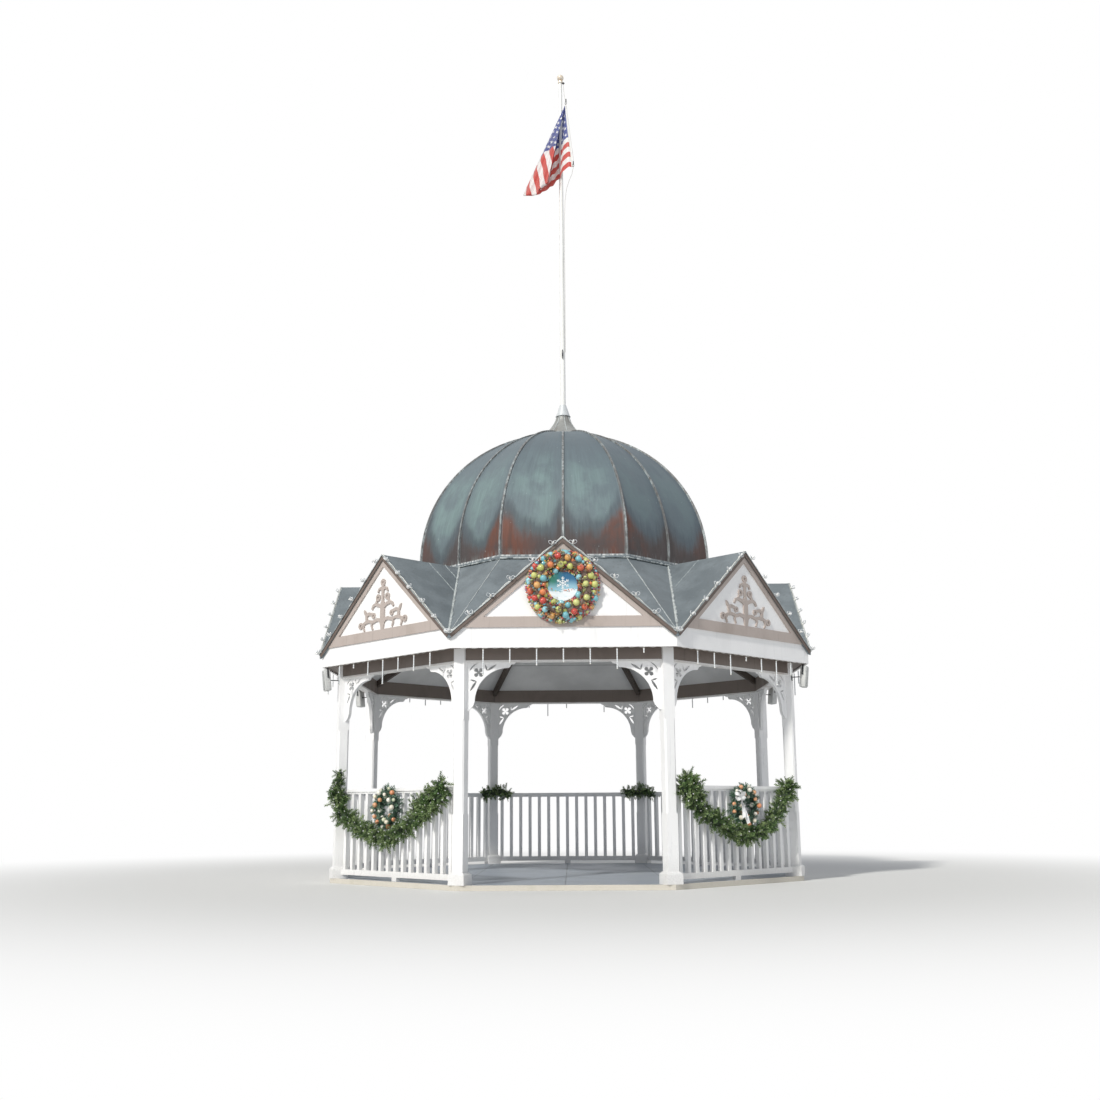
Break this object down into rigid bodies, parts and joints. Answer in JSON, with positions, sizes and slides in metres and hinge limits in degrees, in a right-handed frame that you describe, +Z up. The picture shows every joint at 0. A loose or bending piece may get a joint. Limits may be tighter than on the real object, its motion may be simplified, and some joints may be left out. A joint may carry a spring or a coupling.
{
  "type": "bandstand",
  "caption": "Octagonal open bandstand: square posts with pierced brackets, railings, cross gables round a ribbed copper dome, flagpole with limp flag, wreath, garlands and light strings.",
  "frame": {"origin": "centre of the floor slab's underside, on the ground", "axes": "+Z up, -Y out of the open front bay, +X to the right seen from the front"},
  "size_m": [6.5098, 6.6468, 12.3423],
  "materials": {
    "floor_paint": "worn blue-grey floor paint on concrete",
    "white_paint": "white gloss paint on timber",
    "taupe_paint": "taupe gloss paint on timber",
    "brown_paint": "grey-brown paint on timber",
    "dark_stain": "dark brown stain on timber",
    "bare_timber": "bare softwood",
    "ceiling_paint": "pale grey paint on boards",
    "copper_roof": "boards under weathered copper sheet",
    "copper_dome": "boards under weathered copper sheet, green and brown",
    "copper_trim": "weathered copper with pale solder",
    "copper_flare": "weathered copper",
    "lead_collar": "pale grey painted metal",
    "pole_paint": "white painted tube",
    "gilt": "gilt",
    "flag_cloth": "woven nylon, red, white and blue",
    "baubles": "shiny baubles in orange, lime, teal and red",
    "picture_print": "printed disc with a plain snow crystal",
    "fir": "green fir needles",
    "light_wire": "white wire and clear bulbs",
    "light_tube": "clear tubes",
    "speaker_case": "grey moulded case"
  },
  "bodies": {
    "root": {"floor": "floor_paint", "post_front_left": "white_paint", "post_front_right": "white_paint", "post_right_front": "white_paint", "post_right_back": "white_paint", "post_back_right": "white_paint", "post_back_left": "white_paint", "post_left_back": "white_paint", "post_left_front": "white_paint", "beams": "brown_paint", "beam_strips": "white_paint", "brackets": "white_paint", "railing_front_left": "white_paint", "railing_left": "white_paint", "railing_back_left": "white_paint", "railing_back": "white_paint", "railing_back_right": "white_paint", "railing_right": "white_paint", "railing_front_right": "white_paint", "fascia": "white_paint", "soffit": "brown_paint", "gable_walls": "white_paint", "gable_trim": "taupe_paint", "gable_scrolls": "taupe_paint", "gable_roofs": "copper_roof", "roof_corners": "copper_roof", "ceiling": "ceiling_paint", "rafters": "dark_stain", "dome_ring": "bare_timber", "dome_shell": "copper_dome", "dome_seams": "copper_trim", "dome_curb": "copper_trim", "flare": "copper_flare", "collar": "lead_collar", "flagpole": "pole_paint", "pole_ball": "gilt", "flag": "flag_cloth", "wreath": "baubles", "wreath_picture": "picture_print", "garlands": "fir", "rail_wreaths": "fir", "back_bunches": "fir", "rake_light_strings": "light_wire", "icicle_lights": "light_tube", "speakers": "speaker_case"}
  },
  "joints": []
}
